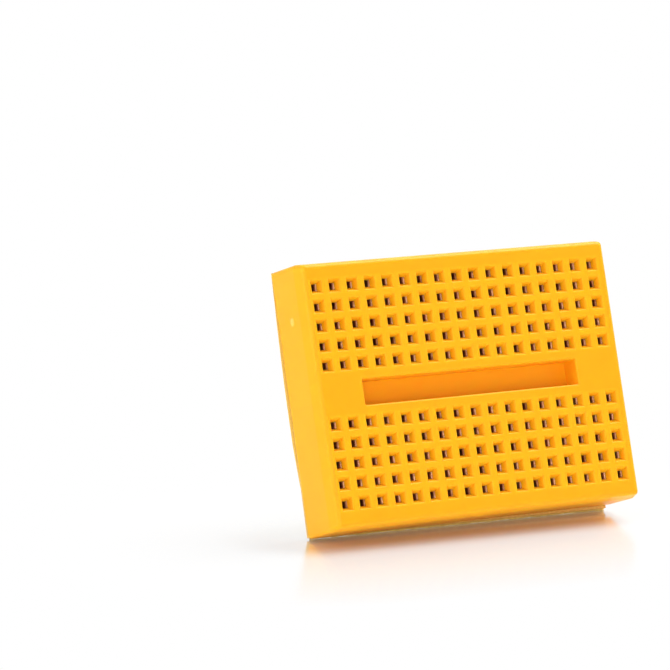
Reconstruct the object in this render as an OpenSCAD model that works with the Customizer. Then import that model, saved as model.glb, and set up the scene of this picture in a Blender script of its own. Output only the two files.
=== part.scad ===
// Small solderless breadboard with 170 tie points: a moulded housing with funnel holes over
// stamped contact clips, closed at the back by an adhesive foam pad and its release liner.
// The board lies on its liner with the hole face up. Lengths are in millimetres.

/* [Tie points] */
// Distance between neighbouring tie points
pitch = 2.54; // [2.4:0.01:3]
// Columns of tie points, each with one clip in either bank
columns = 17; // [9:1:25]
// Tie points in a column of one bank
rows = 5; // [3:1:6]
// Distance between the innermost rows of the two banks
bank_gap = 7.62; // [7.3:0.01:12]
// Width of the square mouth of a hole at the face
mouth = 1.76; // [1.2:0.01:1.9]
// Width of the square throat under the funnel
throat = 0.96; // [0.7:0.01:1.1]
// Depth of the funnel from the face to the throat
funnel_depth = 0.92; // [0.5:0.01:1.5]
// Straight length of the throat under the funnel
throat_land = 0.16; // [0.1:0.01:0.6]

/* [Housing] */
// Thickness of the housing from back to face
body_t = 8.3; // [7.5:0.1:12]
// Distance from an end column to the end of the housing
end_margin = 2.18; // [1.9:0.01:6]
// Distance from an outer row to the long side of the housing
side_margin = 3.28; // [2.6:0.01:8]
// Sideways offset of the whole hole pattern in the housing
grid_shift = -0.2; // [-0.3:0.05:0.3]
// Height of the bevelled band under the face
bevel_h = 2; // [1:0.1:4]
// Distance by which the bevel sets the face in
bevel_in = 0.4; // [0.2:0.05:0.7]
// Outward draft of the sides from the bevel to the back
draft_out = 0.1; // [0.05:0.05:0.3]
// Rounding along the edges of the face
edge_r = 0.6; // [0.2:0.05:0.7]
// Rounding of the upright corners
corner_r = 0.5; // [0.3:0.1:1.5]

/* [Centre channel] */
// Distance from an end column to the end of the channel
channel_end = 4.6; // [3:0.1:7]
// Width of the channel at the face
channel_w = 3.34; // [2:0.01:4]
// Depth of the channel
channel_depth = 3.1; // [1:0.1:4.5]
// Rounding of the channel's upright corners
channel_r = 0.2; // [0.1:0.05:0.6]

/* [Gate mark] */
// Width of the moulding gate's mark on the end of the housing
gate_d = 1.15; // [0.6:0.05:2]
// Height by which the mark stands out
gate_h = 0.08; // [0.02:0.01:0.1]
// Distance of the mark from the middle, towards the upper bank
gate_y = 10.2; // [-12:0.1:12]
// Depth of the mark under the face
gate_depth = 4.25; // [3:0.05:6]

/* [Contact clips] */
// Thickness of the spring sheet
clip_t = 0.16; // [0.12:0.01:0.25]
// Outer width of the clip across its two upright legs
clip_w = 1.5; // [1.3:0.05:1.65]
// Inner radius of the folds at the foot of the legs
fold_r = 0.15; // [0.1:0.01:0.25]
// Width of one spring leaf
leaf_w = 1.9; // [1.4:0.05:2.1]
// Gap between two facing leaves where they grip
grip_gap = 0.1; // [0.04:0.01:0.3]
// Depth of the grip below the ends of the lips
grip_drop = 2.1; // [1.6:0.1:2.6]
// Radius of the rounded grip of a leaf
grip_r = 0.9; // [0.5:0.1:1.2]
// Inward lean of a leaf from its leg to the grip, in degrees
leaf_lean = 12; // [11:1:16]
// Outward flare of a leaf from the grip to its lip, in degrees
leaf_flare = 7; // [5:1:10]
// Radius of the rolled lip that leads a wire in between the leaves
lip_r = 0.32; // [0.2:0.01:0.4]
// Outward flare of the lip at its end, in degrees
lip_flare = 75; // [50:1:80]
// Height of the folded trough below the slots between leaves
trough_h = 1.3; // [0.8:0.1:2]
// Length of the seating tab at each end of the foot
tab_l = 0.4; // [0.25:0.05:0.5]
// Width of the seating tabs
tab_w = 0.8; // [0.5:0.05:1]
// Clearance around a clip in its pocket
clip_clear = 0.1; // [0.05:0.01:0.15]
// Clearance between the lips and the face plate
tip_clear = 0.12; // [0.08:0.01:0.4]
// Clearance between the clip foot and the foam pad
foot_clear = 0.05; // [0:0.01:0.2]

/* [Adhesive pad] */
// Thickness of the foam pad
foam_t = 0.85; // [0.5:0.05:2]
// Thickness of the release liner
liner_t = 0.12; // [0.08:0.01:0.3]
// Distance by which the foam stops short of the housing's ends
foam_end_inset = 0.5; // [0.2:0.05:1]
// Distance by which the foam stops short of the housing's long sides
foam_side_inset = 0.05; // [0:0.05:0.4]
// Border of the liner past the foam, all round
liner_border = 0.2; // [0:0.05:0.5]
// Offset of the hand-applied pad along the columns
pad_shift_x = -0.15; // [-0.3:0.05:0.3]
// Offset of the hand-applied pad across the banks
pad_shift_y = -0.25; // [-0.3:0.05:0.3]
// Turn of the hand-applied pad against the housing, in degrees
pad_skew = 0.75; // [0:0.05:0.8]

/* [Hidden] */
$fn = 48;
// Overshoot of cuts past the faces that they open
cut = 0.5;
// Straight pieces in each rounded bend of a clip
bend_steps = 5;

banks = ["lower", "upper"];
column_ids = [0 : columns - 1];
row_ids = [0 : rows - 1];

// Heights above the liner's outer face
back_z = liner_t + foam_t;
face_z = back_z + body_t;
plate_t = funnel_depth + throat_land;
plate_z = face_z - plate_t;
foot_z = back_z + foot_clear;
shoulder_z = foot_z + clip_t;

// Outline of the housing at the lower edge of the bevel
body_l = (columns - 1) * pitch + 2 * end_margin;
body_w = bank_gap + 2 * (rows - 1) * pitch + 2 * side_margin;
back_l = body_l + 2 * draft_out;
back_w = body_w + 2 * draft_out;

// Centre line of one bank and the length of the rows that it holds
bank_y = bank_gap / 2 + (rows - 1) * pitch / 2;
bank_span = (rows - 1) * pitch;

// Clip sizes that follow from the housing
clip_h = plate_z - tip_clear - foot_z;
clip_l = bank_span + leaf_w;
leg_x = (clip_w - clip_t) / 2;
grip_x = (grip_gap + clip_t) / 2;
grip_z = clip_h - grip_drop;
fold_mid_r = fold_r + clip_t / 2;
lip_z = clip_h - clip_t / 2 * sin(lip_flare);
lip_rise = lip_r * (sin(lip_flare) - sin(leaf_flare));
lip_start_x = grip_x + grip_r * (1 - cos(leaf_flare))
    + (lip_z - lip_rise - grip_z - grip_r * sin(leaf_flare)) * tan(leaf_flare);
lip_x = lip_start_x + lip_r * (cos(leaf_flare) - cos(lip_flare));
lip_w = 2 * (lip_x + clip_t / 2 * cos(lip_flare));

// Pocket of one clip: a shaft for the leaves and a shallow seat for the tabs
pocket_w = max(clip_w, lip_w) + 2 * clip_clear;
pocket_l = clip_l + 2 * clip_clear;
seat_w = tab_w + 2 * clip_clear;
seat_l = clip_l + 2 * tab_l + 2 * clip_clear;

channel_l = (columns - 1) * pitch - 2 * channel_end;

foam_l = body_l - 2 * foam_end_inset;
foam_w = body_w - 2 * foam_side_inset;

function column_x(c) = grid_shift + (c - (columns - 1) / 2) * pitch;
function bank_side(b) = 2 * b - 1;
function row_y(b, r) = bank_side(b) * (bank_gap / 2 + r * pitch);
function two_digits(n) = str(n < 10 ? "0" : "", n);
function clip_name(b, c) = str("contact_clip_", banks[b], "_", two_digits(c + 1));

clip_names = [for (b = [0 : 1]) for (c = column_ids) clip_name(b, c)];

// Points along an arc, from angle a to angle b
function arc(centre, r, a, b) =
    [for (i = [0 : bend_steps]) let (t = a + (b - a) * i / bend_steps) centre + r * [cos(t), sin(t)]];

function unit(v) = v / norm(v);
function left_of(a, b) = unit([a[1] - b[1], b[0] - a[0]]);

// Direction and length of the mitre at point i of a path, for a sheet one unit from its middle
function mitre(path, i) =
    let (last = len(path) - 1)
    let (before = left_of(path[max(i, 1) - 1], path[max(i, 1)]))
    let (after = left_of(path[min(i, last - 1)], path[min(i, last - 1) + 1]))
    let (middle = unit(before + after))
    middle / (middle * before);

// Outline of a sheet of thickness t that follows a path through its middle
function sheet_outline(path, t) = concat(
    [for (i = [0 : len(path) - 1]) path[i] + mitre(path, i) * t / 2],
    [for (i = [len(path) - 1 : -1 : 0]) path[i] - mitre(path, i) * t / 2]);

// Middle line of half a clip: foot, fold, leg, lean to the grip, flare, and rolled lip
function half_clip_path() =
    let (fold_centre = [leg_x - fold_mid_r, clip_t / 2 + fold_mid_r])
    let (grip_centre = [grip_x + grip_r, grip_z])
    let (grip = arc(grip_centre, grip_r, 180 + leaf_lean, 180 - leaf_flare))
    let (knee_z = grip[0][1] - (leg_x - grip[0][0]) / tan(leaf_lean))
    let (lip_centre = [lip_start_x + lip_r * cos(leaf_flare), lip_z - lip_r * sin(lip_flare)])
    let (lip = arc(lip_centre, lip_r, 180 - leaf_flare, 180 - lip_flare))
    concat(arc(fold_centre, fold_mid_r, -90, 0), [[leg_x, knee_z]], grip, lip);

function mirrored(path) = [for (i = [len(path) - 1 : -1 : 0]) [-path[i][0], path[i][1]]];

// Cross profile of a side pair: straight drafted sides, bevel, and rounded face edges
module body_profile(l) {
    back = l / 2 + draft_out;
    ridge = l / 2;
    face = l / 2 - bevel_in;
    slope = atan2(bevel_in, bevel_h);
    reach = edge_r * tan((90 - slope) / 2);
    centre = [face - reach, face_z - edge_r];
    side = concat(
        [[back, back_z], [ridge, face_z - bevel_h]],
        arc(centre, edge_r, slope, 90));
    polygon(concat(side, mirrored(side)));
}

// A profile drawn in the X and Z directions, made l long in the Y direction and centred
module along_y(l) {
    rotate([90, 0, 0])
        linear_extrude(height = l, center = true)
            children();
}

// A profile drawn in the Y and Z directions, made l long in the X direction and centred
module along_x(l) {
    rotate([90, 0, 90])
        linear_extrude(height = l, center = true)
            children();
}

module rounded_rectangle(l, w, r) {
    square([l - 2 * r, w], center = true);
    square([l, w - 2 * r], center = true);
    for (x = [-1, 1])
        for (y = [-1, 1])
            translate([x * (l / 2 - r), y * (w / 2 - r)])
                circle(r);
}

module housing_block() {
    intersection() {
        along_y(back_w + 2 * cut) body_profile(body_l);
        along_x(back_l + 2 * cut) body_profile(body_w);
        translate([0, 0, back_z - cut])
            linear_extrude(height = body_t + 2 * cut)
                rounded_rectangle(back_l, back_w, corner_r);
    }
}

// Section through a hole: a funnel from the face and a straight throat under it
module hole_profile() {
    flare = (mouth - throat) / 2 / funnel_depth;
    right = [
        [throat / 2, plate_z - cut],
        [throat / 2, face_z - funnel_depth],
        [mouth / 2 + cut * flare, face_z + cut]
    ];
    polygon(concat(right, mirrored(right)));
}

// Every hole at once: grooves along the rows crossed with grooves along the columns
module hole_grid() {
    intersection() {
        for (b = [0 : 1])
            for (r = row_ids)
                translate([0, row_y(b, r), 0])
                    along_x(body_l) hole_profile();
        for (c = column_ids)
            translate([column_x(c), 0, 0])
                along_y(body_w) hole_profile();
    }
}

module centre_channel() {
    translate([grid_shift, 0, face_z - channel_depth])
        linear_extrude(height = channel_depth + cut)
            rounded_rectangle(channel_l, channel_w, channel_r);
}

// Space for one clip, open at the back, with shoulders that stop the clip's tabs
module clip_pocket() {
    translate([-pocket_w / 2, -pocket_l / 2, back_z - cut])
        cube([pocket_w, pocket_l, plate_z - back_z + cut]);
    translate([-seat_w / 2, -seat_l / 2, back_z - cut])
        cube([seat_w, seat_l, shoulder_z - back_z + cut]);
}

module gate_mark() {
    wall_x = body_l / 2 + draft_out * (gate_depth - bevel_h) / (body_t - bevel_h);
    translate([-wall_x, gate_y, face_z - gate_depth])
        rotate([0, -90, 0])
            translate([0, 0, -gate_h])
                cylinder(h = 2 * gate_h, d1 = gate_d, d2 = gate_d / 2);
}

module housing() {
    color("gold")
        union() {
            difference() {
                housing_block();
                hole_grid();
                centre_channel();
                for (b = [0 : 1])
                    for (c = column_ids)
                        translate([column_x(c), bank_side(b) * bank_y, 0])
                            clip_pocket();
            }
            gate_mark();
        }
}

// One stamped strip: a folded trough with facing leaf pairs and a tab at each end of its foot
module contact_clip() {
    half = half_clip_path();
    slot_w = pitch - leaf_w;
    color("silver")
        union() {
            difference() {
                along_y(clip_l) polygon(sheet_outline(concat(mirrored(half), half), clip_t));
                for (r = [1 : rows - 1])
                    translate([0, (r - rows / 2) * pitch, trough_h + clip_h / 2])
                        cube([2 * pocket_w, slot_w, clip_h], center = true);
            }
            translate([-tab_w / 2, -clip_l / 2 - tab_l, 0])
                cube([tab_w, clip_l + 2 * tab_l, clip_t]);
        }
}

module placed_clip(b, c) {
    translate([column_x(c), bank_side(b) * bank_y, foot_z])
        contact_clip();
}

module pad_sheet(l, w, t) {
    translate([pad_shift_x, pad_shift_y, 0])
        rotate([0, 0, -pad_skew])
            linear_extrude(height = t)
                square([l, w], center = true);
}

module foam_tape() {
    color("ivory")
        translate([0, 0, liner_t])
            pad_sheet(foam_l, foam_w, foam_t);
}

module release_liner() {
    color("lemonchiffon")
        pad_sheet(foam_l + 2 * liner_border, foam_w + 2 * liner_border, liner_t);
}

housing();
for (b = [0 : 1])
    for (c = column_ids)
        placed_clip(b, c);
foam_tape();
release_liner();
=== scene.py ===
import math

import bmesh
import bpy
from bpy.props import FloatProperty, FloatVectorProperty, IntProperty, PointerProperty
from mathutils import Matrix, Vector


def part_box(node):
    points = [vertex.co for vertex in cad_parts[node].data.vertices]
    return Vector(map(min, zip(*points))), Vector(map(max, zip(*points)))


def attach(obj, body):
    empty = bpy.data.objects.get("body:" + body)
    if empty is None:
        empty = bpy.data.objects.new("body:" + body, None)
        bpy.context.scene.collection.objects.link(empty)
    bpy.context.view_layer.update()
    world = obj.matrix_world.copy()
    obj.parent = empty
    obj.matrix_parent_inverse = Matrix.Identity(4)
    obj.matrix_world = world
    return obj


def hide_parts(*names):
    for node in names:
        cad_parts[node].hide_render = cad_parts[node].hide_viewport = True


bl_info = {
    "name": "Solderless breadboard",
    "version": (1, 0, 0),
    "blender": (4, 5, 0),
    "location": "3D View > Sidebar > Breadboard",
    "description": "Finishes a small solderless breadboard round its fixed frame",
    "category": "Object",
}

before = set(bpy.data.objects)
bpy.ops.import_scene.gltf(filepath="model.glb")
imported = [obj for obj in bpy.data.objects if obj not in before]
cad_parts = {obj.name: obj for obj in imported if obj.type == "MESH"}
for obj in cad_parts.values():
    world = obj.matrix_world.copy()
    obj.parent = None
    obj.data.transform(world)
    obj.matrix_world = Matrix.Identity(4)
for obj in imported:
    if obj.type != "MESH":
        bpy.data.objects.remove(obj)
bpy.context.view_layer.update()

# The frame is in metres
MM = 0.001
# Two places closer than this are one place
WELD = 0.0002 * MM
# Two heights closer than this are one level
LEVEL = 10 * WELD
# A Mix node's sockets for colours, by number because those for its other kinds of data share their names
SHARE, FIRST, SECOND = 0, 6, 7
MIXED = 2
WHITE = (1, 1, 1, 1)
BACK_LOW, BACK_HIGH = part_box("housing")
# The gate mark stands out from the left end, so that end is taken from the right one
BACK_LOW.x = -BACK_HIGH.x
FOAM_LOW, FOAM_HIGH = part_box("foam_tape")
LINER_LOW, LINER_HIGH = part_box("release_liner")
FACE_Z = BACK_HIGH.z
BACK_Z = BACK_LOW.z
X, Y, Z = range(3)


def linear(value):
    """Turn an sRGB hex value into the linear colour that Blender works with."""
    parts = [(value >> shift & 255) / 255 for shift in (16, 8, 0)]
    return [p / 12.92 if p <= 0.04045 else ((p + 0.055) / 1.055) ** 2.4 for p in parts] + [1.0]


def length(name, description, millimetres):
    """A size of the part, given in millimetres."""
    return FloatProperty(
        name=name,
        description=description,
        default=millimetres * MM,
        subtype="DISTANCE",
        unit="LENGTH",
    )


def colour(name, description, value):
    """A colour of the part, given as an sRGB hex value."""
    return FloatVectorProperty(
        name=name,
        description=description,
        default=linear(value),
        size=4,
        min=0,
        max=1,
        subtype="COLOR",
    )


class HousingSizes(bpy.types.PropertyGroup):
    """Sizes of the moulded housing"""

    pitch: length("Pitch", "Distance between neighbouring tie points", 2.54)
    columns: IntProperty(name="Columns", description="Columns of tie points", default=17, min=1)
    rows: IntProperty(name="Rows", description="Tie points in a column of one bank", default=5, min=1)
    bank_gap: length("Bank gap", "Distance between the innermost rows of the two banks", 7.62)
    grid_shift: length("Grid shift", "Sideways offset of the whole hole pattern", -0.2)
    mouth: length("Mouth", "Height of the mouth of a hole at the face", 1.76)
    mouth_w: length("Mouth width", "Width of the mouth of a hole at the face", 1.64)
    throat: length("Throat", "Height of the throat under the funnel", 0.88)
    funnel_depth: length("Funnel depth", "Depth from the face to the throat", 0.8)
    throat_land: length("Throat land", "Straight length of the throat", 0.1)
    rim_r: length("Rim rounding", "Rounding of the mouth of a hole", 0.28)
    bevel_h: length("Bevel height", "Height of the bevelled band under the face", 2)
    bevel_in: length("Bevel inset", "Distance by which the bevel sets the face in", 0.4)
    draft_out: length("Draft", "Outward draft of the sides from the bevel to the back", 0.1)
    edge_r: length("Edge rounding", "Rounding of the face's edges and of the upright corners", 0.6)
    ridge_r: length("Ridge rounding", "Width of the soft ridge under the bevel", 0.3)
    channel_end: length("Channel end", "Distance from an end column to the channel", 4.6)
    channel_w: length("Channel width", "Width of the centre channel at the face", 3.34)
    channel_depth: length("Channel depth", "Depth of the centre channel", 3.1)
    channel_r: length("Channel corners", "Rounding of the channel's upright corners", 0.2)
    pocket_w: length("Pocket width", "Width of the shaft behind a column of holes", 1.7)
    pocket_l: length("Pocket length", "Length of the shaft behind a column of holes", 12.26)
    seat_w: length("Seat width", "Width of the seat for the clip's tabs", 1.0)
    seat_l: length("Seat length", "Length of the seat for the clip's tabs", 13.06)
    seat_depth: length("Seat depth", "Depth of the seat from the back", 0.21)
    gate_d: length("Gate mark", "Width of the moulding gate's mark", 1.15)
    gate_h: length("Gate height", "Height by which the gate mark stands out", 0.08)
    gate_y: length("Gate place", "Distance of the gate mark from the middle", 10.2)
    gate_depth: length("Gate depth", "Depth of the gate mark under the face", 4.25)


class PadSizes(bpy.types.PropertyGroup):
    """Sizes of the foam tape and its release liner"""

    foam_l: length("Foam length", "Length of the foam tape", 44.0)
    foam_w: length("Foam width", "Width of the foam tape", 34.4)
    border: length("Liner border", "Border of the liner past the foam", 0.2)
    waist: length("Foam waist", "Depth by which the cut edge of the foam draws in", 0.1)
    paper_t: length("Paper", "Thickness of the liner's paper", 0.09)
    ragged: length("Ragged edge", "Unevenness of the liner's cut edge", 0.04)
    bow: length("Liner bow", "Distance by which the liner's end bows out", 0.22)
    corner_in: length("Liner corner", "Distance by which the liner's lower corner is cut back", 0.5)
    skew: FloatProperty(
        name="Skew",
        description="Turn of the hand-applied pad against the housing",
        default=math.radians(-0.75),
        subtype="ANGLE",
        unit="ROTATION",
    )


class Colours(bpy.types.PropertyGroup):
    """Colours of the part and of the floor"""

    plastic: colour("Plastic", "Yellow of the plain margins", 0xFFB119)
    # The lattice yellow is a painted glow of the light that the thin bars pass
    lattice: colour("Lattice", "Paler yellow of the thin bars between the holes", 0xFFB81A)
    # The gate mark's paler yellow is a painted highlight on its low dome
    gate: colour("Gate mark", "Paler yellow where the moulding gate was broken off", 0xFFCC58)
    metal: colour("Clip metal", "Plated bronze of the contact clips", 0xD8A67C)
    tarnish: colour("Clip tarnish", "Duller patches of the plating", 0xA87048)
    foam: colour("Foam", "Tan of the foam tape", 0xECC268)
    # The burst cells' deeper tan is painted shade in their hollows
    foam_cell_shade: colour("Foam cells", "Deeper tan inside the foam's burst cells", 0xD8A650)
    liner: colour("Liner", "Pale yellow of the release liner", 0xF6DE7C)
    fibres: colour("Liner fibres", "Deeper yellow of the liner's fibres", 0xE2C468)
    # The grime colour is dirt and painted shade along the edge that the board stands on
    grime_and_shade: colour("Grime", "Dirt on the edge that the board stands on", 0xDABA62)
    floor: colour("Floor", "Pale floor under the board", 0xF4F4F4)


def node(tree, kind, inputs=None, **settings):
    """Add a node with its settings; an input takes a value or another node's output."""
    new = tree.nodes.new(kind)
    for name, value in settings.items():
        setattr(new, name, value)
    for socket, value in (inputs or {}).items():
        if isinstance(value, bpy.types.NodeSocket):
            tree.links.new(value, new.inputs[socket])
        else:
            new.inputs[socket].default_value = value
    return new


def material(name):
    """An empty material with its node tree and output node."""
    new = bpy.data.materials.new(name)
    new.use_nodes = True
    new.node_tree.nodes.clear()
    return new, new.node_tree, node(new.node_tree, "ShaderNodeOutputMaterial")


def per_mm(millimetres):
    """Scale of a pattern whose features are that many millimetres wide."""
    return 1 / (millimetres * MM)


def select(kind, test):
    """Select the verts, edges or faces of the mesh in edit mode that pass a test."""
    bpy.ops.mesh.select_mode(type=kind.upper())
    bpy.ops.mesh.select_all(action="DESELECT")
    data = bpy.context.edit_object.data
    mesh = bmesh.from_edit_mesh(data)
    parts = {"vert": mesh.verts, "edge": mesh.edges, "face": mesh.faces}[kind]
    for part in parts:
        if test(part):
            part.select_set(True)
    mesh.select_flush_mode()
    bmesh.update_edit_mesh(data)


def middle(part):
    """The middle of a vertex, edge or face."""
    if isinstance(part, bmesh.types.BMVert):
        return part.co
    corners = [v.co for v in part.verts]
    return sum(corners, Vector()) / len(corners)


def within(low, high):
    """A test for parts of the mesh whose middle lies in a box."""
    return lambda part: all(a < m < b for a, m, b in zip(low, middle(part), high))


def slice_faces(test, axis, places):
    """Cut the faces that pass the test square to one axis, at each of the places."""
    for place in places:
        point = [0.0, 0.0, 0.0]
        normal = [0.0, 0.0, 0.0]
        point[axis] = place
        normal[axis] = 1.0
        select("face", test)
        bpy.ops.mesh.bisect(plane_co=point, plane_no=normal, threshold=WELD)


def rounded_rim(radius, turn, steps):
    """Inset and depth of the points of a rim that rolls over from the face by an angle."""
    angles = [turn * i / steps for i in range(1, steps + 1)]
    return [(radius * math.sin(a), radius * (1 - math.cos(a))) for a in angles]


def sink(profile):
    """Sink the selected faces one by one along a profile of insets and depths."""
    inset, depth = 0.0, 0.0
    for next_inset, next_depth in profile:
        bpy.ops.mesh.inset(
            use_individual=True,
            thickness=next_inset - inset,
            depth=depth - next_depth,
        )
        inset, depth = next_inset, next_depth


def push(x, y, z):
    """Extrude the selected faces as one region."""
    bpy.ops.mesh.extrude_region_move(TRANSFORM_OT_translate={"value": (x, y, z)})


def start_piece(name, add, size, **settings):
    """Add a primitive at its size and place, keep both in its mesh, and start editing it."""
    bpy.ops.object.select_all(action="DESELECT")
    add(size=1, **settings)
    piece = bpy.context.object
    piece.name = name
    piece.data.name = name
    piece.scale = size
    bpy.ops.object.transform_apply(location=True, rotation=True, scale=True)
    bpy.ops.object.mode_set(mode="EDIT")
    return piece


def finish_piece(piece, finish, body, cad_node):
    """Leave edit mode, dress the piece and tie it to the frame."""
    bpy.ops.object.mode_set(mode="OBJECT")
    piece.data.materials.clear()
    piece.data.materials.append(finish)
    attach(piece, body)
    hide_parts(cad_node)


def apply_modifier(piece, kind, **settings):
    """Add a modifier with its settings and apply it."""
    modifier = piece.modifiers.new(kind.title(), kind)
    for name, value in settings.items():
        setattr(modifier, name, value)
    bpy.ops.object.modifier_apply(modifier=modifier.name)


class Grid:
    """Where the holes, the channel and the pockets lie"""

    def __init__(self, sizes):
        half_columns = (sizes.columns - 1) / 2
        self.columns = [sizes.grid_shift + (c - half_columns) * sizes.pitch for c in range(sizes.columns)]
        self.bank = [sizes.bank_gap / 2 + r * sizes.pitch for r in range(sizes.rows)]
        self.rows = [side * y for side in (-1, 1) for y in self.bank]
        self.bank_y = (self.bank[0] + self.bank[-1]) / 2
        self.bank_middles = [-self.bank_y, self.bank_y]
        slope = math.atan2((sizes.mouth - sizes.throat) / 2, sizes.funnel_depth)
        self.rim_turn = math.pi / 2 - slope
        self.rim_reach = sizes.rim_r * math.tan(self.rim_turn / 2)
        self.channel_l = (sizes.columns - 1) * sizes.pitch - 2 * sizes.channel_end
        self.plate_z = FACE_Z - sizes.funnel_depth - sizes.throat_land

    def at_crossing(self, face, z, rows, half_w, half_h):
        """Whether a face lies at one level, with its middle in a box where a column crosses a row."""
        place = middle(face)
        return (
            abs(place.z - z) < WELD
            and min(abs(place.x - x) for x in self.columns) < half_w
            and min(abs(place.y - y) for y in rows) < half_h
        )


def either_side(centres, reach):
    """Both edges of strips round a list of centres, in order."""
    return [centre + side * reach for centre in centres for side in (-1, 1)]


def at_level(z):
    """A test for verts and edges that lie at one level."""

    def lies_there(part):
        corners = part.verts if isinstance(part, bmesh.types.BMEdge) else [part]
        return all(abs(corner.co.z - z) < LEVEL for corner in corners)

    return lies_there


def shape_block(sizes):
    """Draw the box in to the bevelled band and round its edges."""
    back = BACK_HIGH - BACK_LOW
    ridge_z = FACE_Z - sizes.bevel_h
    step_in = [(ridge_z, sizes.draft_out), (FACE_Z, sizes.draft_out + sizes.bevel_in)]
    select("face", lambda face: True)
    bpy.ops.mesh.bisect(plane_co=(0, 0, ridge_z), plane_no=(0, 0, 1), threshold=WELD)
    for z, inset in step_in:
        select("vert", at_level(z))
        bpy.ops.transform.resize(
            value=(1 - 2 * inset / back.x, 1 - 2 * inset / back.y, 1),
            center_override=(0, 0, z),
        )
    on_face = at_level(FACE_Z)

    def is_upright(edge):
        return abs(edge.verts[0].co.z - edge.verts[1].co.z) > sizes.edge_r

    slope = math.atan2(sizes.bevel_in, sizes.bevel_h)
    reach = sizes.edge_r * math.tan((math.pi / 2 - slope) / 2)
    select("edge", lambda edge: on_face(edge) or is_upright(edge))
    bpy.ops.mesh.bevel(offset=reach, segments=4, affect="EDGES")
    for z, offset in ((ridge_z, sizes.ridge_r), (BACK_Z, sizes.ridge_r / 2)):
        select("edge", at_level(z))
        bpy.ops.mesh.bevel(offset=offset, segments=2, affect="EDGES")


def face_box(x_low, x_high, y_low, y_high, z):
    """A test for faces at one level inside a rectangle."""
    return within((x_low, y_low, z - LEVEL), (x_high, y_high, z + LEVEL))


def sink_holes(sizes, grid):
    """Cut the face into bars and cells, and sink each cell into a funnel and throat."""
    far = BACK_HIGH.x
    half_h = sizes.mouth / 2 + grid.rim_reach
    half_w = sizes.mouth_w / 2 + grid.rim_reach
    border = sizes.pitch / 2
    bank_edges = [grid.bank[0] - border, grid.bank[-1] + border]
    ends = [grid.columns[0] - border, grid.columns[-1] + border]
    slice_faces(face_box(-far, far, -far, far, FACE_Z), Y, [s * y for s in (-1, 1) for y in bank_edges])
    for side in (-1, 1):
        y_low, y_high = sorted(side * y for y in bank_edges)
        slice_faces(face_box(-far, far, y_low, y_high, FACE_Z), X, ends)
        bank = face_box(*ends, y_low, y_high, FACE_Z)
        slice_faces(bank, X, either_side(grid.columns, half_w))
        slice_faces(bank, Y, either_side([side * y for y in grid.bank], half_h))

    select("face", lambda face: grid.at_crossing(face, FACE_Z, grid.rows, WELD, WELD))
    rim = rounded_rim(sizes.rim_r, grid.rim_turn, steps=3)
    throat_inset = grid.rim_reach + (sizes.mouth - sizes.throat) / 2
    sink(rim + [(throat_inset, sizes.funnel_depth)])
    push(0, 0, -sizes.throat_land)


def sink_channel(sizes, grid):
    """Sink the blind centre channel between the two banks."""
    far = BACK_HIGH.x
    # The rim rolls over almost upright, into walls with a little draft
    wall_turn = math.radians(88)
    rim = rounded_rim(sizes.rim_r, wall_turn, steps=4)
    reach = sizes.rim_r
    half_l = grid.channel_l / 2 + reach
    half_w = sizes.channel_w / 2 + reach
    inner = grid.bank[0] - sizes.pitch / 2
    slice_faces(face_box(-far, far, -inner, inner, FACE_Z), Y, [-half_w, half_w])
    ends = [sizes.grid_shift - half_l, sizes.grid_shift + half_l]
    slice_faces(face_box(-far, far, -half_w, half_w, FACE_Z), X, ends)
    on_face = at_level(FACE_Z)

    def is_corner(vert):
        return (
            on_face(vert)
            and abs(abs(vert.co.x - sizes.grid_shift) - half_l) < WELD
            and abs(abs(vert.co.y) - half_w) < WELD
        )

    select("vert", is_corner)
    bpy.ops.mesh.bevel(offset=sizes.channel_r + reach, segments=4, affect="VERTICES")
    select("face", face_box(*ends, -WELD, WELD, FACE_Z))
    foot_r = sizes.channel_r / 2
    wall_foot = reach + foot_r / 2
    # How far a quarter turn is from both of its ends' tangents when it is half way round
    half_way = 0.3 * foot_r
    sink(rim + [
        (wall_foot, sizes.channel_depth - foot_r),
        (wall_foot + half_way, sizes.channel_depth - half_way),
        (wall_foot + foot_r, sizes.channel_depth),
    ])


def open_pockets(sizes, grid):
    """Cut the clip pockets into the back and join them to the throats of the holes."""
    far = BACK_HIGH.x
    half_seat_l = sizes.seat_l / 2
    half_pocket_l = sizes.pocket_l / 2
    half_seat_w = sizes.seat_w / 2
    half_pocket_w = sizes.pocket_w / 2
    for centre in grid.bank_middles:
        edges = [centre - half_seat_l, centre - half_pocket_l, centre + half_pocket_l, centre + half_seat_l]
        slice_faces(face_box(-far, far, -far, far, BACK_Z), Y, edges)
        strip = face_box(-far, far, edges[0], edges[-1], BACK_Z)
        slice_faces(strip, X, either_side(grid.columns, half_pocket_w))
        slice_faces(strip, X, either_side(grid.columns, half_seat_w))

    def in_pocket(face, z):
        return grid.at_crossing(face, z, grid.bank_middles, half_pocket_w, half_pocket_l)

    def in_seat(face, z):
        return grid.at_crossing(face, z, grid.bank_middles, half_seat_w, half_seat_l)

    # The seat is longer than the pocket and the pocket is wider, so their outlines make a cross
    select("face", lambda face: in_pocket(face, BACK_Z) or in_seat(face, BACK_Z))
    push(0, 0, sizes.seat_depth)
    shoulder_z = BACK_Z + sizes.seat_depth
    select("face", lambda face: in_pocket(face, shoulder_z) and face.normal.z < 0)
    push(0, 0, grid.plate_z - shoulder_z)

    def ceiling(face):
        return in_pocket(face, grid.plate_z) and face.normal.z < 0

    half_h = sizes.throat / 2
    half_w = half_h + (sizes.mouth_w - sizes.mouth) / 2
    slice_faces(ceiling, X, either_side(grid.columns, half_w))
    slice_faces(ceiling, Y, either_side(grid.rows, half_h))

    # A throat's floor and the ceiling under it lie on one another: both go, and their borders are joined
    select("face", lambda face: grid.at_crossing(face, grid.plate_z, grid.rows, half_w, half_h))
    bpy.ops.mesh.delete(type="ONLY_FACE")
    select("vert", lambda vert: abs(vert.co.z - grid.plate_z) < WELD)
    bpy.ops.mesh.remove_doubles(threshold=WELD)


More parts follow.
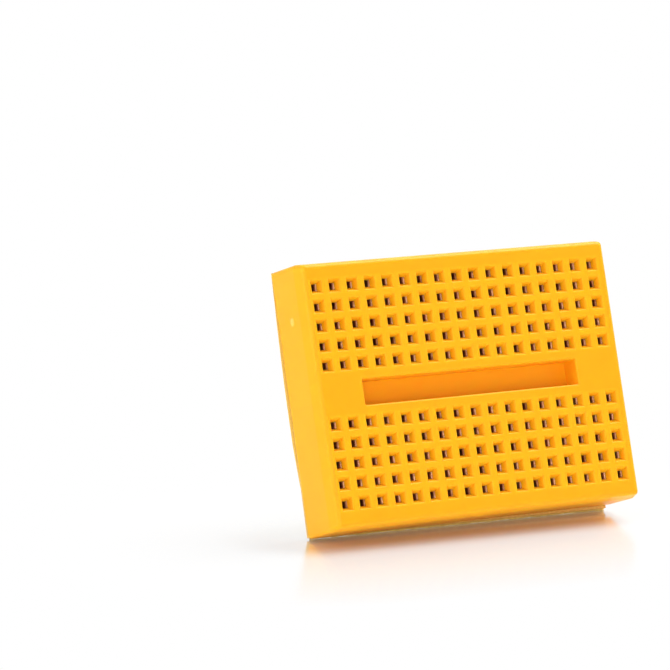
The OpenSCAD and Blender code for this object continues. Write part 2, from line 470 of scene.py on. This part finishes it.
def gate_place(sizes):
    """Middle of the gate mark on the end wall."""
    ridge_z = FACE_Z - sizes.bevel_h
    z = FACE_Z - sizes.gate_depth
    fall = (ridge_z - z) / (ridge_z - BACK_Z)
    return Vector((BACK_LOW.x + sizes.draft_out * (1 - fall), sizes.gate_y, z))


# Share of the gate mark's height that each step of its dome climbs, and of its outline that it keeps.
# The climbs stay just short of the whole height, so that the dome ends inside the frame's box.
GATE_STEPS = ((0.6, 0.8), (0.39, 0.65))


def raise_gate_mark(sizes):
    """Set the low round mark of the moulding gate into the end wall."""
    centre = gate_place(sizes)
    # The mark stands in a square patch that leaves a margin of wall round it
    half = 0.7 * sizes.gate_d
    low = (centre.x - sizes.draft_out, BACK_LOW.y, BACK_Z + sizes.ridge_r)
    high = (centre.x + sizes.draft_out, BACK_HIGH.y, FACE_Z - sizes.bevel_h)
    in_wall = within(low, high)

    def in_strip(face):
        return in_wall(face) and abs(middle(face).y - centre.y) < half

    slice_faces(in_wall, Y, [centre.y - half, centre.y + half])
    slice_faces(in_strip, Z, [centre.z - half, centre.z + half])
    select("face", lambda face: in_strip(face) and abs(middle(face).z - centre.z) < half)
    bpy.ops.mesh.delete(type="ONLY_FACE")
    bpy.ops.mesh.primitive_circle_add(
        vertices=16,
        radius=sizes.gate_d / 2,
        location=centre,
        rotation=(0, math.pi / 2, 0),
    )
    select("edge", lambda edge: edge.is_boundary or edge.is_wire)
    bpy.ops.mesh.bridge_edge_loops()
    select("edge", lambda edge: edge.is_boundary)
    for climb, kept in GATE_STEPS:
        bpy.ops.mesh.extrude_edges_move(TRANSFORM_OT_translate={"value": (-climb * sizes.gate_h, 0, 0)})
        bpy.ops.transform.resize(value=(1, kept, kept), center_override=centre)
    bpy.ops.mesh.edge_face_add()


def moulded_abs(colours, sizes, grid):
    """Moulded ABS: a clear warm yellow with a satin skin, painted paler where the bars are thin and round
    the gate mark, as painted light.
    """
    new, tree, output = material("moulded_yellow_abs")
    place = node(tree, "ShaderNodeTexCoord").outputs["Object"]
    xyz = node(tree, "ShaderNodeSeparateXYZ", {0: place})
    from_centre = node(tree, "ShaderNodeMath", {0: xyz.outputs["Y"]}, operation="ABSOLUTE")
    from_bank = node(
        tree, "ShaderNodeMath", {0: from_centre.outputs[0], 1: grid.bank_y}, operation="SUBTRACT"
    )
    off_bank = node(tree, "ShaderNodeMath", {0: from_bank.outputs[0]}, operation="ABSOLUTE")
    from_middle = node(
        tree, "ShaderNodeMath", {0: xyz.outputs["X"], 1: sizes.grid_shift}, operation="SUBTRACT"
    )
    off_middle = node(tree, "ShaderNodeMath", {0: from_middle.outputs[0]}, operation="ABSOLUTE")
    under_face = node(tree, "ShaderNodeMath", {0: FACE_Z, 1: xyz.outputs["Z"]}, operation="SUBTRACT")
    # Painted light: thin bars pass more light, so each hole block is painted paler out to a soft border
    # past its holes
    soft_border = 0.4 * MM
    limits = [
        (off_bank, grid.bank[-1] - grid.bank_y + sizes.pitch / 2),
        (off_middle, grid.columns[-1] - sizes.grid_shift + sizes.pitch / 2),
        (under_face, soft_border),
    ]
    clouds = node(tree, "ShaderNodeTexNoise", {"Vector": place, "Scale": per_mm(9), "Detail": 3.0})
    paler = node(tree, "ShaderNodeMapRange", {"Value": clouds.outputs[0], "To Min": 0.7, "To Max": 1.0})
    for distance, limit in limits:
        inside = node(
            tree,
            "ShaderNodeMapRange",
            {"Value": distance.outputs[0], "From Min": limit, "From Max": limit - soft_border},
            interpolation_type="SMOOTHSTEP",
        )
        paler = node(
            tree, "ShaderNodeMath", {0: paler.outputs[0], 1: inside.outputs[0]}, operation="MULTIPLY"
        )
    tint = node(
        tree,
        "ShaderNodeMix",
        {SHARE: paler.outputs[0], FIRST: list(colours.plastic), SECOND: list(colours.lattice)},
        data_type="RGBA",
    )
    # The plastic is painted paler round the gate mark, a painted highlight that makes its low dome show
    from_gate = node(
        tree, "ShaderNodeVectorMath", {0: place, 1: gate_place(sizes)}, operation="DISTANCE"
    ).outputs["Value"]
    gate_highlight_share = node(
        tree,
        "ShaderNodeMapRange",
        {"Value": from_gate, "From Min": 0.6 * sizes.gate_d, "From Max": 0.3 * sizes.gate_d},
        interpolation_type="SMOOTHSTEP",
    )
    tint = node(
        tree,
        "ShaderNodeMix",
        {SHARE: gate_highlight_share.outputs[0], FIRST: tint.outputs[MIXED], SECOND: list(colours.gate)},
        data_type="RGBA",
    )
    # The grain of a moulded skin is finer than this, which is as coarse as it needs to be to show
    skin = node(tree, "ShaderNodeTexNoise", {"Vector": place, "Scale": per_mm(0.16), "Detail": 2.0})
    satin = node(
        tree,
        "ShaderNodeMapRange",
        {"Value": skin.outputs[0], "To Min": 0.3, "To Max": 0.42},
    )
    bump = node(
        tree,
        "ShaderNodeBump",
        {"Height": skin.outputs[0], "Strength": 0.3, "Distance": 0.006 * MM},
    )
    shader = node(
        tree,
        "ShaderNodeBsdfPrincipled",
        {
            "Base Color": tint.outputs[MIXED],
            "Roughness": satin.outputs[0],
            "IOR": 1.53,
            "Specular IOR Level": 0.12,
            "Subsurface Weight": 0.5,
            "Subsurface Radius": (1.0, 0.35, 0.08),
            "Subsurface Scale": 1.0 * MM,
            "Normal": bump.outputs[0],
        },
    )
    tree.links.new(shader.outputs[0], output.inputs["Surface"])
    return new


def plated_bronze(colours):
    """Plated spring bronze: bright stamped strip, slightly streaked and duller in patches."""
    new, tree, output = material("plated_spring_bronze")
    place = node(tree, "ShaderNodeTexCoord").outputs["Object"]
    # Rolling leaves streaks along the leaves, ten times as long as they are wide
    streaks = node(tree, "ShaderNodeMapping", {"Vector": place, "Scale": (1, 1, 0.1)})
    rolled = node(
        tree,
        "ShaderNodeTexNoise",
        {"Vector": streaks.outputs[0], "Scale": per_mm(0.2), "Detail": 2.0},
    )
    patches = node(tree, "ShaderNodeTexNoise", {"Vector": place, "Scale": per_mm(2.2), "Detail": 2.0})
    dull = node(
        tree,
        "ShaderNodeMapRange",
        {"Value": patches.outputs[0], "From Min": 0.4, "From Max": 0.65},
    )
    tint = node(
        tree,
        "ShaderNodeMix",
        {SHARE: dull.outputs[0], FIRST: list(colours.metal), SECOND: list(colours.tarnish)},
        data_type="RGBA",
    )
    polish = node(
        tree,
        "ShaderNodeMapRange",
        {"Value": rolled.outputs[0], "From Min": 0.35, "From Max": 0.65, "To Min": 0.3, "To Max": 0.65},
    )
    shader = node(
        tree,
        "ShaderNodeBsdfPrincipled",
        {"Base Color": tint.outputs[MIXED], "Metallic": 1.0, "Roughness": polish.outputs[0]},
    )
    tree.links.new(shader.outputs[0], output.inputs["Surface"])
    return new


def closed_cell_foam(colours):
    """Closed-cell polyethylene foam: matt tan with small burst cells on its cut edges, painted deeper tan
    in their hollows as shade.
    """
    new, tree, output = material("closed_cell_foam")
    place = node(tree, "ShaderNodeTexCoord").outputs["Object"]
    cells = node(tree, "ShaderNodeTexVoronoi", {"Vector": place, "Scale": per_mm(0.3)})
    # Painted shade: each cell is deeper tan towards its hollow middle
    shade = node(
        tree,
        "ShaderNodeMix",
        {SHARE: cells.outputs["Distance"], FIRST: list(colours.foam_cell_shade), SECOND: list(colours.foam)},
        data_type="RGBA",
    )
    bump = node(
        tree,
        "ShaderNodeBump",
        {"Height": cells.outputs["Distance"], "Strength": 0.6, "Distance": 0.06 * MM},
    )
    shader = node(
        tree,
        "ShaderNodeBsdfPrincipled",
        {"Base Color": shade.outputs[MIXED], "Roughness": 0.85, "Normal": bump.outputs[0]},
    )
    tree.links.new(shader.outputs[0], output.inputs["Surface"])
    return new


def coated_paper(colours, sizes):
    """Silicone-coated paper: smooth pale yellow with faint fibres, darker along the edge it stands on with
    dirt and painted shade.
    """
    new, tree, output = material("coated_liner_paper")
    place = node(tree, "ShaderNodeTexCoord").outputs["Object"]
    # Fibres lie along the sheet, four times as long as they are wide
    stretched = node(tree, "ShaderNodeMapping", {"Vector": place, "Scale": (0.25, 1, 1)})
    fibres = node(
        tree,
        "ShaderNodeTexNoise",
        {"Vector": stretched.outputs[0], "Scale": per_mm(0.25), "Detail": 4.0},
    )
    shade = node(
        tree,
        "ShaderNodeMix",
        {SHARE: fibres.outputs[0], FIRST: list(colours.fibres), SECOND: list(colours.liner)},
        data_type="RGBA",
    )
    # Dirt and painted shade lie on the border and thin out over twice its width, measured across the turned
    # sheet
    sheet = node(
        tree,
        "ShaderNodeMapping",
        {"Vector": place, "Location": (LINER_LOW + LINER_HIGH) / 2, "Rotation": (0, 0, sizes.skew)},
        vector_type="TEXTURE",
    )
    across = node(tree, "ShaderNodeSeparateXYZ", {0: sheet.outputs[0]}).outputs["Y"]
    foot = -sizes.foam_w / 2 - sizes.border
    specks = node(tree, "ShaderNodeTexNoise", {"Vector": place, "Scale": per_mm(0.8), "Detail": 3.0})
    thickness = node(
        tree,
        "ShaderNodeMapRange",
        {"Value": specks.outputs[0], "From Min": 0.35, "From Max": 0.6, "To Min": 0.3, "To Max": 1.0},
    )
    dirt_and_shade = node(
        tree,
        "ShaderNodeMapRange",
        {
            "Value": across,
            "From Min": foot + 3 * sizes.border,
            "From Max": foot + sizes.border,
            "To Max": thickness.outputs[0],
        },
    )
    shade = node(
        tree,
        "ShaderNodeMix",
        {SHARE: dirt_and_shade.outputs[0], FIRST: shade.outputs[MIXED], SECOND: list(colours.grime_and_shade)},
        data_type="RGBA",
    )
    shine = node(tree, "ShaderNodeMapRange", {"Value": fibres.outputs[0], "To Min": 0.4, "To Max": 0.6})
    bump = node(
        tree,
        "ShaderNodeBump",
        {"Height": fibres.outputs[0], "Strength": 0.3, "Distance": 0.01 * MM},
    )
    shader = node(
        tree,
        "ShaderNodeBsdfPrincipled",
        {
            "Base Color": shade.outputs[MIXED],
            "Roughness": shine.outputs[0],
            "Specular IOR Level": 0.12,
            "Normal": bump.outputs[0],
        },
    )
    tree.links.new(shader.outputs[0], output.inputs["Surface"])
    return new


class BREADBOARD_OT_housing(bpy.types.Operator):
    """Mould the housing with its funnel holes, channel, clip pockets and gate mark"""

    bl_idname = "breadboard.housing"
    bl_label = "Moulded housing"

    def execute(self, context):
        sizes = context.scene.breadboard_housing
        grid = Grid(sizes)
        housing = start_piece(
            "moulded_housing",
            bpy.ops.mesh.primitive_cube_add,
            BACK_HIGH - BACK_LOW,
            location=(BACK_LOW + BACK_HIGH) / 2,
        )
        shape_block(sizes)
        sink_holes(sizes, grid)
        sink_channel(sizes, grid)
        open_pockets(sizes, grid)
        raise_gate_mark(sizes)
        select("face", lambda face: True)
        bpy.ops.mesh.normals_make_consistent(inside=False)
        finish_piece(
            housing,
            moulded_abs(context.scene.breadboard_colours, sizes, grid),
            "board",
            "housing",
        )
        bpy.ops.object.shade_smooth_by_angle(angle=math.radians(35))
        apply_modifier(housing, "WEIGHTED_NORMAL", keep_sharp=True)
        return {"FINISHED"}


class BREADBOARD_OT_contact_clips(bpy.types.Operator):
    """Give the contact clips of the frame their plated metal"""

    bl_idname = "breadboard.contact_clips"
    bl_label = "Contact clips"

    def execute(self, context):
        metal = plated_bronze(context.scene.breadboard_colours)
        for name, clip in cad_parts.items():
            if name.startswith("contact_clip"):
                clip.data.materials.clear()
                clip.data.materials.append(metal)
        return {"FINISHED"}


class BREADBOARD_OT_foam_tape(bpy.types.Operator):
    """Cut the foam tape, with its cut edges drawn in"""

    bl_idname = "breadboard.foam_tape"
    bl_label = "Foam tape"

    def execute(self, context):
        sizes = context.scene.breadboard_pad
        thickness = FOAM_HIGH.z - FOAM_LOW.z
        centre = (FOAM_LOW + FOAM_HIGH) / 2
        foam = start_piece(
            "foam_pad",
            bpy.ops.mesh.primitive_cube_add,
            (sizes.foam_l, sizes.foam_w, thickness),
            location=centre,
            rotation=(0, 0, sizes.skew),
        )
        select("face", lambda face: True)
        # An odd number of cuts leaves a row of verts half way up the edge, which is drawn in
        bpy.ops.mesh.subdivide(number_cuts=23)
        select("vert", at_level(centre.z))
        bpy.ops.transform.resize(
            value=(1 - 2 * sizes.waist / sizes.foam_l, 1 - 2 * sizes.waist / sizes.foam_w, 1),
            center_override=centre,
        )
        finish_piece(
            foam,
            closed_cell_foam(context.scene.breadboard_colours),
            "board",
            "foam_tape",
        )
        bpy.ops.object.shade_smooth_by_angle(angle=math.radians(40))
        return {"FINISHED"}


class BREADBOARD_OT_release_liner(bpy.types.Operator):
    """Cut the release liner, a thin paper sheet with an uneven edge"""

    bl_idname = "breadboard.release_liner"
    bl_label = "Release liner"

    def execute(self, context):
        sizes = context.scene.breadboard_pad
        sheet_l = sizes.foam_l + 2 * sizes.border
        sheet_w = sizes.foam_w + 2 * sizes.border
        centre = (LINER_LOW + LINER_HIGH) / 2
        liner = start_piece(
            "paper_liner",
            bpy.ops.mesh.primitive_grid_add,
            (sheet_l - sizes.ragged, sheet_w - sizes.ragged, 1),
            x_subdivisions=60,
            y_subdivisions=48,
            location=centre,
            rotation=(0, 0, sizes.skew),
        )
        # The left edge bows out a little above its middle, and is cut back towards its lower end
        bow_y = 0.1 * sheet_w
        bow_reach = 0.6 * sheet_w
        corner_y = -sheet_w / 2
        corner_reach = 0.4 * sheet_w
        self.pull_edge(-sizes.bow, bow_y, bow_reach)
        self.pull_edge(sizes.corner_in, corner_y, corner_reach)
        select("vert", lambda vert: vert.is_boundary)
        bpy.ops.transform.vertex_random(offset=sizes.ragged / 2, uniform=0.0, normal=0.0, seed=5)
        bpy.ops.mesh.select_all(action="SELECT")
        bpy.ops.transform.resize(value=(1, 1, 0), center_override=centre)
        finish_piece(
            liner,
            coated_paper(context.scene.breadboard_colours, sizes),
            "liner",
            "release_liner",
        )
        apply_modifier(liner, "SOLIDIFY", thickness=sizes.paper_t, offset=0.0)
        return {"FINISHED"}

    def pull_edge(self, step, y, reach):
        """Pull the left edge of the sheet sideways at one place, and less and less around it."""
        mesh = bmesh.from_edit_mesh(bpy.context.edit_object.data)
        target = Vector((BACK_LOW.x, y, LINER_LOW.z))
        nearest = min(mesh.verts, key=lambda vert: (vert.co - target).length)
        place = nearest.co.copy()
        select("vert", lambda vert: (vert.co - place).length < WELD)
        bpy.ops.transform.translate(
            value=(step, 0, 0),
            use_proportional_edit=True,
            proportional_edit_falloff="SMOOTH",
            proportional_size=reach,
        )


# The board stands on its long lower side and leans back
LEAN = math.radians(17.934)
UP = Vector((0, math.cos(LEAN), math.sin(LEAN)))
# The camera is fitted to the tie points of the photographed board; its lens and sensor are in millimetres
CAMERA_PLACE = Vector((-241.23, -43.81, 449.37)) * MM
CAMERA_TURN = [math.radians(angle) for angle in (9.9182, -25.6788, -8.9525)]
CAMERA_LENS = 209.354
SENSOR = 36.0
# Nearest and farthest distance that the camera shows, in metres
CAMERA_NEAR = 0.01
CAMERA_FAR = 20.0
# Each lamp's name, its place to the right, up and towards the camera, its side and its power,
# with lengths in metres and powers in watts
LAMPS = (
    ("top_softbox", (-0.25, 0.62, 0.28), 0.55, 0.9),
    ("left_softbox", (-0.70, 0.18, 0.30), 0.40, 2.3),
    ("rim_softbox", (0.35, 0.70, -0.25), 0.50, 7.8),
    ("front_fill", (0.04, 0.09, 0.75), 0.35, 2.0),
)
# Strength of the even light from all around
AMBIENT = 0.3
# Side of the floor in metres
FLOOR_SIDE = 8.0
# Distances from the board at which the floor starts to turn white, has mostly turned and is all white
FADE_START = 4.4 * MM
FADE_MOST = 12.6 * MM
FADE_END = 36 * MM
# Share of plain white at the first two of these
START_WHITE = 0.045
MOST_WHITE = 0.62


def shown_ray(tree):
    """One for a ray that the camera, a reflection or a clear piece shows, and nought for lighting."""
    path = node(tree, "ShaderNodeLightPath").outputs
    shown = path["Is Camera Ray"]
    for ray in ("Is Glossy Ray", "Is Transmission Ray"):
        shown = node(tree, "ShaderNodeMath", {0: shown, 1: path[ray]}, operation="MAXIMUM").outputs[0]
    return shown


class BREADBOARD_OT_stage(bpy.types.Operator):
    """Set up the camera, the pale floor, the soft lamps and the white surroundings"""

    bl_idname = "breadboard.stage"
    bl_label = "Stage"

    def execute(self, context):
        scene = context.scene
        colours = scene.breadboard_colours
        scene.view_settings.view_transform = "Standard"
        bpy.ops.object.select_all(action="DESELECT")
        bpy.ops.object.camera_add(location=CAMERA_PLACE, rotation=CAMERA_TURN)
        camera = context.object
        camera.data.lens = CAMERA_LENS
        camera.data.sensor_width = SENSOR
        camera.data.clip_start = CAMERA_NEAR
        camera.data.clip_end = CAMERA_FAR
        scene.camera = camera
        turn = camera.rotation_euler.to_matrix()
        right = turn.col[X]
        towards = right.cross(UP)
        for name, (across, up, near), size, power in LAMPS:
            spot = right * across + UP * up + towards * near
            facing = spot.to_track_quat("Z", "Y").to_euler()
            bpy.ops.object.light_add(type="AREA", location=spot, rotation=facing)
            lamp = context.object
            lamp.name = name
            lamp.data.size = size
            lamp.data.energy = power
        pad = scene.breadboard_pad
        # The sheet stands on the points of its ragged edge
        foot = (LINER_LOW + LINER_HIGH) / 2 - Vector((0, pad.foam_w / 2 + pad.border - pad.ragged / 2, 0))
        foot.z = LINER_LOW.z
        bpy.ops.mesh.primitive_plane_add(
            size=FLOOR_SIDE,
            location=foot,
            rotation=(LEAN - math.pi / 2, 0, pad.skew),
        )
        floor = context.object
        floor.name = "pale_floor"
        floor.data.materials.append(self.floor_finish(colours))
        scene.world = self.surroundings()
        return {"FINISHED"}

    def floor_finish(self, colours):
        """Polished pale acrylic: white, with a soft reflection, and clear from behind."""
        new, tree, output = material("pale_floor_acrylic")
        # Part metallic, for a stronger reflection than plain plastic gives
        acrylic = node(
            tree,
            "ShaderNodeBsdfPrincipled",
            {"Base Color": list(colours.floor), "Metallic": 0.65, "Roughness": 0.2, "IOR": 1.5},
        )
        # Plain white away from the board, and the floor's own shade and reflection close to it
        place = node(tree, "ShaderNodeTexCoord").outputs["Object"]
        half = Vector((BACK_HIGH.x, 0, 0))
        aside = node(tree, "ShaderNodeVectorMath", {0: place}, operation="ABSOLUTE").outputs[0]
        past = node(tree, "ShaderNodeVectorMath", {0: aside, 1: half}, operation="SUBTRACT").outputs[0]
        outside = node(
            tree, "ShaderNodeVectorMath", {0: past, 1: (0, 0, 0)}, operation="MAXIMUM"
        ).outputs[0]
        distance = node(tree, "ShaderNodeVectorMath", {0: outside}, operation="LENGTH").outputs["Value"]
        near_fade = node(
            tree,
            "ShaderNodeMapRange",
            {
                "Value": distance,
                "From Min": FADE_START,
                "From Max": FADE_MOST,
                "To Min": START_WHITE,
                "To Max": MOST_WHITE,
            },
            interpolation_type="SMOOTHSTEP",
        ).outputs[0]
        far_fade = node(
            tree,
            "ShaderNodeMapRange",
            {"Value": distance, "From Min": FADE_MOST, "From Max": FADE_END, "To Max": 1 - MOST_WHITE},
        ).outputs[0]
        faded = node(tree, "ShaderNodeMath", {0: near_fade, 1: far_fade}, operation="ADD").outputs[0]
        white = node(tree, "ShaderNodeEmission", {"Color": WHITE, "Strength": 1.0})
        whiteness = node(
            tree, "ShaderNodeMath", {0: faded, 1: shown_ray(tree)}, operation="MULTIPLY"
        ).outputs[0]
        top = node(
            tree, "ShaderNodeMixShader", {0: whiteness, 1: acrylic.outputs[0], 2: white.outputs[0]}
        )
        behind = node(tree, "ShaderNodeNewGeometry").outputs["Backfacing"]
        clear = node(tree, "ShaderNodeBsdfTransparent")
        seen = node(tree, "ShaderNodeMixShader", {0: behind, 1: top.outputs[0], 2: clear.outputs[0]})
        tree.links.new(seen.outputs[0], output.inputs["Surface"])
        return new

    def surroundings(self):
        """White where the camera or a reflection sees it, a plain level of light elsewhere."""
        world = bpy.data.worlds.new("white_surroundings")
        world.use_nodes = True
        tree = world.node_tree
        tree.nodes.clear()
        output = node(tree, "ShaderNodeOutputWorld")
        ambient = node(tree, "ShaderNodeBackground", {"Color": WHITE, "Strength": AMBIENT})
        white = node(tree, "ShaderNodeBackground", {"Color": WHITE, "Strength": 1.0})
        mixed = node(
            tree,
            "ShaderNodeMixShader",
            {0: shown_ray(tree), 1: ambient.outputs[0], 2: white.outputs[0]},
        )
        tree.links.new(mixed.outputs[0], output.inputs["Surface"])
        return world


class BREADBOARD_PT_panel(bpy.types.Panel):
    """The pieces of the breadboard and its stage, in the order in which they are made"""

    bl_idname = "BREADBOARD_PT_panel"
    bl_label = "Solderless breadboard"
    bl_space_type = "VIEW_3D"
    bl_region_type = "UI"
    bl_category = "Breadboard"

    def draw(self, context):
        for operator in OPERATORS:
            self.layout.operator(operator.bl_idname)


GROUPS = {
    "breadboard_housing": HousingSizes,
    "breadboard_pad": PadSizes,
    "breadboard_colours": Colours,
}
OPERATORS = (
    BREADBOARD_OT_stage,
    BREADBOARD_OT_housing,
    BREADBOARD_OT_contact_clips,
    BREADBOARD_OT_foam_tape,
    BREADBOARD_OT_release_liner,
)
CLASSES = (*GROUPS.values(), *OPERATORS, BREADBOARD_PT_panel)


def register():
    """Register the classes and give every scene the sizes and colours."""
    for item in CLASSES:
        bpy.utils.register_class(item)
    for name, group in GROUPS.items():
        setattr(bpy.types.Scene, name, PointerProperty(type=group))


def unregister():
    """Take back what register gave."""
    for name in GROUPS:
        delattr(bpy.types.Scene, name)
    for item in reversed(CLASSES):
        bpy.utils.unregister_class(item)


def main():
    """Make the stage and the pieces."""
    register()
    bpy.ops.breadboard.stage()
    bpy.ops.breadboard.housing()
    bpy.ops.breadboard.contact_clips()
    bpy.ops.breadboard.foam_tape()
    bpy.ops.breadboard.release_liner()


if __name__ == "__main__":
    main()
